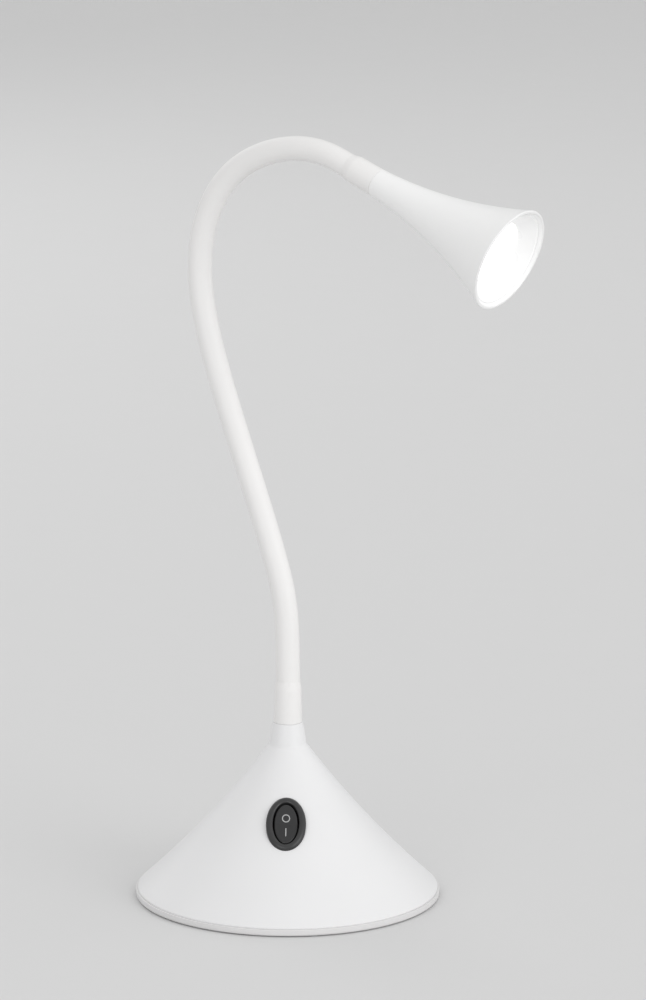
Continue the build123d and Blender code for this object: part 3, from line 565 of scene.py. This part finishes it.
joint_names = [
    "neck_sway_lower", "neck_lean_lower", "neck_sway_middle", "neck_lean_middle", "neck_sway_upper",
    "neck_lean_upper", "neck_arch_1", "neck_arch_2", "neck_arch_3", "neck_arch_4", "head_turn",
]
joint_count = len(joint_names)
joint_places = np.array([joint_at[name] for name in joint_names])
misses = np.linalg.norm(centre_line[steps:len(turns) * steps:steps] - joint_places, axis=1)
print("largest distance from a joint in mm:", round(misses.max() * 1000, 3))

# %% [markdown]
# ## The neck's sleeve
# The sleeve is one soft tube, but it crosses eleven joints. So it is made of eleven closed pieces,
# cut in the middle of each arc, and each piece follows the centre line across the joint in its own
# middle, so two pieces always meet without a gap. The first and the last piece run on to the
# sleeve's ends. The steel coil inside it and the wire inside the coil are made in the same way.

# %% Bent pieces of the neck
def tube(path, way, across, outer, inner, columns=64):
    """Grid of a closed-walled tube along a path: a ring square to each point's way, out and back."""
    other = np.cross(way, across)
    angle = np.linspace(0, 2 * math.pi, columns, endpoint=False)[:, None]
    rings = np.cos(angle) * across + np.sin(angle) * other[:, None, :]
    outside = path[:, None, :] + outer * rings
    inside = path[::-1, None, :] + inner * rings[::-1]
    return np.concatenate([inside[-1:], outside, inside[:-1]])


sleeve_r, coil_r, wire_r = 4.7 * mm, 3.68 * mm, 1.4 * mm
sleeve_bore, coil_bore = 3.73 * mm, 2.18 * mm
sleeve_reach_low, sleeve_reach_high = 6.2 * mm, 13.2 * mm
coil_reach_low, coil_reach_high, wire_reach = 13.35 * mm, 16.75 * mm, 67.6 * mm
steel, wire_black = inner_finish["steel"], inner_finish["wire_black"]
layers = {
    "sleeve": (sleeve_r, sleeve_bore, neck_white, "neck_white", sleeve_reach_low, sleeve_reach_high),
    "coil": (coil_r, coil_bore, steel, "steel", coil_reach_low, coil_reach_high),
    "wires": (wire_r, 0.0, wire_black, "wire_black", coil_reach_low, wire_reach),
}
for layer, (outer, inner, material, slot, run_in, run_out) in layers.items():
    for joint in range(1, joint_count + 1):
        low = (joint - 1) * steps + steps // 2
        high = low + steps
        path, way = centre_line[low:high + 1], line_way[low:high + 1]
        if joint == 1:
            path = np.concatenate([[centre_line[0] - run_in * up], centre_line[:low], path])
            way = np.concatenate([[up], line_way[:low], way])
        if joint == joint_count:
            last = centre_line[-1] + run_out * line_way[-1]
            path = np.concatenate([path, centre_line[high + 1:], [last]])
            way = np.concatenate([way, line_way[high + 1:], line_way[-1:]])
        bend_grid = tube(path, way, side, outer, inner)
        piece = finished(f"neck_{layer}_bend_{joint:02d}", bend_grid, material, closed=True)
        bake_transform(piece)
        if layer == "wires":
            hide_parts("neck_wires")
        else:
            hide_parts(f"neck_{layer}_{joint:02d}", f"neck_{layer}_{joint + 1:02d}")
print("neck pieces:", len(layers) * joint_count)

# %% [markdown]
# ## The wire's lower end
# Below the neck the wire leaves the ferrule's bore, bends twice and ends on the driver board. Its
# corners are rounded by the same rule as an outline's corners, which works in space too.

# %% Lower end of the wire
wire_bend, wire_rise = 6 * mm, 7 * mm
pad = np.array([8.0 * mm, 5.0 * mm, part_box("neck_wires")[0][2]])
turn_in = 39.8 * mm * up
wire_corners = [pad, pad + wire_rise * up, turn_in, centre_line[0] - coil_reach_low * up]
wire_path = rounded_outline(wire_corners, [0, wire_bend, wire_bend, 0], steps=16)
wire_way = np.gradient(wire_path, axis=0)
wire_way[-1] = up
wire_way /= np.linalg.norm(wire_way, axis=1)[:, None]
wire_side = np.cross(up, pad) / np.linalg.norm(np.cross(up, pad))
lower_grid = tube(wire_path, wire_way, wire_side, wire_r, 0.0, 32)
lower_wire = finished("neck_wires_lower", lower_grid, wire_black, closed=True)
stand_for(lower_wire, "base", "neck_wires")

# %% [markdown]
# ## Cuffs
# Two short cuffs of the sleeve's colour hide where the neck enters the collar and the head. Each is a
# turned ring whose far end slopes down to the sleeve in a soft shoulder, so no step shows there. The
# upper one stands in the head's own frame.

# %% Both cuffs
head_z = line_way[-1]
head_place = (centre_line[-1] + neck_head_l * head_z, side, np.cross(head_z, side), head_z)
cuff_place = (np.array([0.0, 0.0, collar_z]), *np.eye(3))
cuff_bore, cuff_tip_r = 4.71, 4.78
low_l, high_l = 16.8, 13.9
low_corners = [(cuff_bore, 0), (5.55, 0), (5.2, 13.7), (cuff_tip_r, low_l), (cuff_bore, low_l)]
high_corners = [(cuff_bore, -high_l), (cuff_tip_r, -high_l), (5.4, -11.2), (5.47, 0), (cuff_bore, 0)]
cuffs = [
    ("lower_cuff", low_corners, [0, 0.25, 16.0, 0, 0], cuff_place, "base"),
    ("upper_cuff", high_corners, [0, 0, 8.0, 0.3, 0], head_place, "head"),
]
for name, corners, radii, place, body in cuffs:
    outline = rounded_outline(np.array(corners) * mm, np.array(radii) * mm)
    cuff = finished(f"{name}_surface", turned(outline, place, 128), neck_white, closed=True)
    stand_for(cuff, body, name)

# %% [markdown]
# ## The head
# The head's shell flares like a trumpet, along the same kind of shallow arc as the base. Inside it
# are a shelf that carries the light and a small ledge that seats the dish. The lip at the mouth is
# rounded, so it catches the light as a thin bright ring.

# %% Head shell
head_l, seam_r, mouth_r = 64.6 * mm, 5.5 * mm, 20.95 * mm
head_sag = 3.1 * mm
head_wall, lip_wall, ledge_depth = 1.7 * mm, 1.3 * mm, 1.2 * mm
lip_bore, ledge_s = mouth_r - lip_wall, head_l - ledge_depth
shelf_back, shelf_face, shelf_bore = 42.6 * mm, 46.6 * mm, 7.3 * mm
stud_bore, stud_end = 3.8 * mm, 11.9 * mm

head_ends = ((seam_r, 0.0), (mouth_r, head_l))
head_outside = flare(*head_ends, head_sag, np.linspace(0.01, 0.985, 72))
head_inside = flare(*head_ends, head_sag, np.linspace(0.0, 1.02, 160), depth=head_wall)
front = head_inside[(head_inside[:, 1] > shelf_face) & (head_inside[:, 1] < ledge_s)][::-1]
back = head_inside[(head_inside[:, 1] > stud_end) & (head_inside[:, 1] < shelf_back)][::-1]
head_corners = np.concatenate([
    [(stud_bore, 0.0), (seam_r, 0.0)],
    head_outside,
    [(mouth_r, head_l), (lip_bore, head_l), (lip_bore, ledge_s)],
    [(radius_at(head_inside, ledge_s), ledge_s)],
    front,
    [(radius_at(head_inside, shelf_face), shelf_face), (shelf_bore, shelf_face)],
    [(shelf_bore, shelf_back), (radius_at(head_inside, shelf_back), shelf_back)],
    back,
    [(radius_at(head_inside, stud_end), stud_end), (stud_bore, stud_end)],
])
seam_round = 0.3 * mm
seam_radii = [0, seam_round] + [0] * len(head_outside)
lip_radii = [0.45 * mm, 0.2 * mm, 0.1 * mm]
head_radii = seam_radii + lip_radii + [0] * (len(head_corners) - len(seam_radii) - len(lip_radii))
head_grid = turned(rounded_outline(head_corners, head_radii), head_place, 256)
head_shell = finished("head_shell_surface", head_grid, head_white, closed=True)
stand_for(head_shell, "head", "head_shell")

# %% [markdown]
# ## The dish and the diffuser
# The dish curves from the lip in to the diffuser, whose edge stands in a thin groove. Behind the
# dish a tube leads back to the board with the diodes.

# %% Dish and diffuser
disc_r, disc_depth, disc_back_depth = 12.2 * mm, 6.5 * mm, 8.0 * mm
disc_face, disc_back = head_l - disc_depth, head_l - disc_back_depth
light_gap = 6.4 * mm
diode_face = disc_back - light_gap
groove_gap, dish_set_back, lip_gap = 0.15 * mm, 0.15 * mm, 0.01 * mm
dish_bow = 0.15 * mm
dish_wall = 1.0 * mm
tube_r = radius_at(head_inside, shelf_face) - fit_gap * mm
dish_start = np.array([lip_bore - lip_gap, head_l - dish_set_back])
dish_end = np.array([disc_r + groove_gap, disc_face])
rear_s = ledge_s - dish_wall
rear = [
    (tube_r - dish_wall, diode_face), (tube_r, diode_face), (tube_r, disc_back - 2 * dish_wall),
    (dish_end[0] + dish_wall, disc_back - dish_wall),
    (radius_at(head_inside, rear_s) - fit_gap * mm, rear_s),
    (radius_at(head_inside, ledge_s) - fit_gap * mm, ledge_s),
    (dish_start[0], ledge_s),
]
share = np.linspace(0, 1, 25)[:, None]
bow = 4 * dish_bow * share * (1 - share) * np.array([1.0, -1.0])
dish_face = dish_start + (dish_end - dish_start) * share + bow
groove = [(dish_end[0], disc_back), (tube_r - dish_wall, disc_back)]
dish_corners = np.concatenate([rear, dish_face, groove])
rear_radii = [0, 0, 0.4 * mm, 0.4 * mm, 0.2 * mm, 0.2 * mm, 0]
face_radii = [0.06 * mm] + [0] * (len(dish_face) - 2) + [0.12 * mm]
dish_outline = rounded_outline(dish_corners, rear_radii + face_radii + [0, 0], 4)
dish_grid = turned(dish_outline, head_place, 192)
reflector = finished("reflector_surface", dish_grid, dish_white, closed=True)
stand_for(reflector, "head", "reflector")

disc_corners = [(0, disc_back), (disc_r, disc_back), (disc_r, disc_face), (0, disc_face)]
disc_outline = rounded_outline(disc_corners, np.array([0, 0.1, 0.3, 0]) * mm)
disc_grid = turned(disc_outline, head_place, 160)
diffuser = finished("diffuser_surface", disc_grid, diffuser_glow)
stand_for(diffuser, "head", "diffuser")

# %% [markdown]
# ## The switch
# The housing's bezel is an oval ring, domed across, that sits in a shallow pocket of the slope. The
# rocker in it has a face of two planes that meet in a soft valley. One half is pressed in, so the
# whole rocker is turned about its pins, the way it stands in the photograph. The bezel's height at
# share s of its width is its greatest height times sin(pi * (0.06 + 0.72 * s)) to the power 0.6,
# which rises steeply outside and falls gently to the window.

# %% Housing
window_w, window_l = 10.35, 17.7
rim_high, window_top = 1.35, 0.8
dome_share = 0.94
dome = np.linspace(0, 1, 13)
bezel_rows = np.column_stack([
    bezel_w / 2 + (window_w - bezel_w) / 2 * dome * dome_share,
    bezel_l / 2 + (window_l - bezel_l) / 2 * dome * dome_share,
    rim_high * np.sin(np.pi * (0.06 + 0.72 * dome)) ** 0.6,
])
switch_floor = -10.6
bezel_rim = (bezel_w / 2, bezel_l / 2)
window_rim = (window_w / 2, window_l / 2)
body_rim = (switch_w / 2, switch_l / 2)
housing_rows = np.concatenate([
    [(0, 0, -switch_deep), (*body_rim, -switch_deep)],
    [(*body_rim, -pocket_depth), (*bezel_rim, -pocket_depth)],
    bezel_rows,
    [(*window_rim, window_top), (*window_rim, switch_floor), (0, 0, switch_floor)],
]) * mm
housing_grid = ovals(housing_rows, switch_place)
housing = finished("switch_housing_surface", housing_grid, switch_black, sharp_deg=40)
stand_for(housing, "base", "switch_housing")
print("bezel height in mm:", round(float(bezel_rows[:, 2].max()), 2))

# %% Rocker
tilt = math.radians(6.0)
fold = math.tan(math.radians(9.0))
pivot_depth = 3.0 * mm
face_rise, valley_round = 0.1 * mm, 0.4 * mm
valley = pivot_depth + face_rise
half_w, half_l = 4.675 * mm, 8.0 * mm
switch_up = switch_place[2]
rocker_y = math.cos(tilt) * switch_up + math.sin(tilt) * switch_out
rocker_z = math.cos(tilt) * switch_out - math.sin(tilt) * switch_up
rocker_place = (switch_origin - pivot_depth * switch_out, right, rocker_y, rocker_z)


def face_height(y):
    """Height of the rocker's face above its pins, at a distance y from its middle.

    It is the valley's height plus fold * (sqrt(y ** 2 + round ** 2) - round / 2): two planes far
    from the middle, and a soft valley between them.
    """
    return valley + fold * (np.sqrt(y ** 2 + valley_round ** 2) - valley_round / 2)


rim_round = 0.6 * mm
flat_rows = 25
turn = np.linspace(0, math.pi / 2, 7)
flat_inset = np.linspace(rim_round, half_w, flat_rows + 1)[1:]
inset = np.concatenate([rim_round * (1 - np.cos(turn)), flat_inset])
drop = np.concatenate([rim_round * (1 - np.sin(turn)), np.zeros(flat_rows)])
face_rows = np.column_stack([half_w - inset, half_l - inset * half_l / half_w, np.zeros(len(inset))])
own_frame = (np.zeros(3), *np.eye(3))
face_grid = ovals(face_rows, own_frame)
face_grid[:, :, 2] = face_height(face_grid[:, :, 1]) - drop[:, None]
skirt, stem_r, stem_low, bore_r, bore_top = -0.6 * mm, 2.2 * mm, -3.2 * mm, 1.35 * mm, 1.5 * mm
under_rows = np.array([
    (0, 0, bore_top), (bore_r, bore_r, bore_top), (bore_r, bore_r, stem_low), (stem_r, stem_r, stem_low),
    (stem_r, stem_r, skirt), (half_w, half_l, skirt),
])
local = np.concatenate([ovals(under_rows, own_frame), face_grid])
rocker_grid = rocker_place[0] + local @ np.stack(rocker_place[1:])
rocker = finished("rocker_surface", rocker_grid, rocker_black, sharp_deg=50)
stand_for(rocker, "rocker", "rocker")

# %% [markdown]
# ## The marks on the rocker
# A ring and a bar, in light grey, are printed on the two halves of the face. Each is a thin raised
# shape that stands a few hundredths of a millimetre off the face, so its edge stays crisp.

# %% Ring and bar
def mark_frame(place):
    """Frame on the face at a distance from the valley, up or down, with z square to the face there."""
    origin, x, y, z = rocker_place
    lean = math.copysign(math.atan(fold), place)
    along = math.cos(lean) * y + math.sin(lean) * z
    square = math.cos(lean) * z - math.sin(lean) * y
    return origin + place * y + face_height(place) * z, x, along, square


stroke = 0.38
mark_low, mark_high = -0.1, 0.03
ring_r, bar_half = 1.58, 1.6
ring_bore = ring_r - stroke
ring_place, bar_place = 2.6 * mm, -3.1 * mm
ring_corners = [(ring_bore, mark_low), (ring_r, mark_low), (ring_r, mark_high), (ring_bore, mark_high)]
ring_grid = turned(np.array(ring_corners) * mm, mark_frame(ring_place), 96)
ring_mark = finished("ring_mark", ring_grid, mark_grey, closed=True)
bar_turn = np.linspace(0, 2 * math.pi, 48, endpoint=False)[:, None]
origin, x, along, square = mark_frame(bar_place)
bar_ends = bar_half * np.sign(np.sin(bar_turn)) * along
bar_rim = stroke / 2 * (np.cos(bar_turn) * x + np.sin(bar_turn) * along) + bar_ends
bar_levels = [(0.0, mark_low), (1.0, mark_low), (1.0, mark_high), (0.0, mark_high)]
bar_grid = np.stack([origin + mm * (scale * bar_rim + height * square) for scale, height in bar_levels])
bar_mark = finished("bar_mark", bar_grid, mark_grey)
for mark in (ring_mark, bar_mark):
    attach(mark, "rocker")

# %% [markdown]
# ## Floor and backdrop
# The lamp stands on a plain pale floor that curves up far behind it into a backdrop, so no horizon
# shows. The floor is painted paper: matt, with a very faint fibre.

# %% Floor
curve = np.linspace(0, math.pi / 2, 17)[1:]
curve_r, floor_front, floor_reach, floor_half, wall_top = 1.5, -4.0, 4.0, 6.0, 5.0
profile = np.concatenate([
    [(floor_front, 0.0), (floor_reach, 0.0)],
    np.column_stack([floor_reach + curve_r * np.sin(curve), curve_r * (1 - np.cos(curve))]),
    [(floor_reach + curve_r, wall_top)],
])
left_edge = np.column_stack([np.full(len(profile), -floor_half), profile])
right_edge = left_edge * (-1, 1, 1)
count = len(profile)
floor_faces = [(k, count + k, count + k + 1, k + 1) for k in range(count - 1)]
floor_mesh = bpy.data.meshes.new("floor")
floor_mesh.from_pydata(np.concatenate([left_edge, right_edge]).tolist(), [], floor_faces)
floor_mesh.polygons.foreach_set("use_smooth", [True] * len(floor_mesh.polygons))
floor = bpy.data.objects.new("floor", floor_mesh)
bpy.context.scene.collection.objects.link(floor)
floor_mesh.materials.append(
    moulded("floor_paper", (0.67, 0.67, 0.67), 0.9, grain=0.0015, depth=0.00004, mottle=0.01)
)
floor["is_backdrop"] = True
print("floor faces:", len(floor_mesh.polygons))

# %% [markdown]
# ## Lights
# A bright sky lights the white plastic from all sides, dimmer to the left and near the horizon. One
# large soft light from the right, low and in front, models the slope, which fades from right to left.
# It stands far off, so that the bright floor below it is far from the lamp. A weak light from the
# left keeps the head's lower side clear, and one from behind draws the neck's edge.

# %% Lights and sky
aim_z = 0.15


def softbox(name, azimuth_deg, rise_deg, distance, size, watts):
    """Round area light aimed at the lamp, at an azimuth to the right of the switch's side.

    Its place is the aim plus the distance times (cos rise sin azimuth, -cos rise cos azimuth, sin rise),
    and turned by 90 degrees less its rise, then by its azimuth, it looks back along that line.
    """
    light = bpy.data.lights.new(name, "AREA")
    light.shape = "DISK"
    light.size = size
    light.energy = watts
    box = bpy.data.objects.new(name, light)
    bpy.context.scene.collection.objects.link(box)
    turn, rise = math.radians(azimuth_deg), math.radians(rise_deg)
    flat = distance * math.cos(rise)
    box.location = (flat * math.sin(turn), -flat * math.cos(turn), aim_z + distance * math.sin(rise))
    box.rotation_euler = (math.pi / 2 - rise, 0.0, turn)
    return box


softbox("key_light", 50.0, 16.0, 4.5, 3.0, 46.0)
softbox("fill_light", -22.0, 4.0, 2.2, 1.4, 8.0)
softbox("back_light", -150.0, 25.0, 2.2, 1.2, 5.0)
print("lights:", len(bpy.data.lights))

# %% Sky
world = bpy.data.worlds.new("sky")
bpy.context.scene.world = world
world.use_nodes = True
sky = world.node_tree.nodes["Background"]
sky.inputs["Color"].default_value = (1.0, 1.0, 1.0, 1.0)
way = add(world.node_tree, "ShaderNodeTexCoord").outputs["Generated"]
parts = add(world.node_tree, "ShaderNodeSeparateXYZ")
fade = add(world.node_tree, "ShaderNodeMapRange", From_Min=0.0, From_Max=1.0, To_Min=0.97, To_Max=1.0)
world.node_tree.links.new(way, parts.inputs["Vector"])
world.node_tree.links.new(parts.outputs["Z"], fade.inputs["Value"])
aside = add(world.node_tree, "ShaderNodeMapRange", From_Min=-1.0, From_Max=1.0, To_Min=0.74, To_Max=1.04)
both = add(world.node_tree, "ShaderNodeMath", operation="MULTIPLY")
world.node_tree.links.new(parts.outputs["X"], aside.inputs["Value"])
world.node_tree.links.new(fade.outputs["Result"], both.inputs[0])
world.node_tree.links.new(aside.outputs["Result"], both.inputs[1])
world.node_tree.links.new(both.outputs["Value"], sky.inputs["Strength"])
bpy.context.scene.view_settings.view_transform = "Standard"
print("sky nodes:", len(world.node_tree.nodes))

# %% [markdown]
# ## The size
# The dressed lamp should keep the size of the engineering model; its bounds over every shown piece but the floor
# are measured here.

# %% Measure the dressed lamp
low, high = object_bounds()
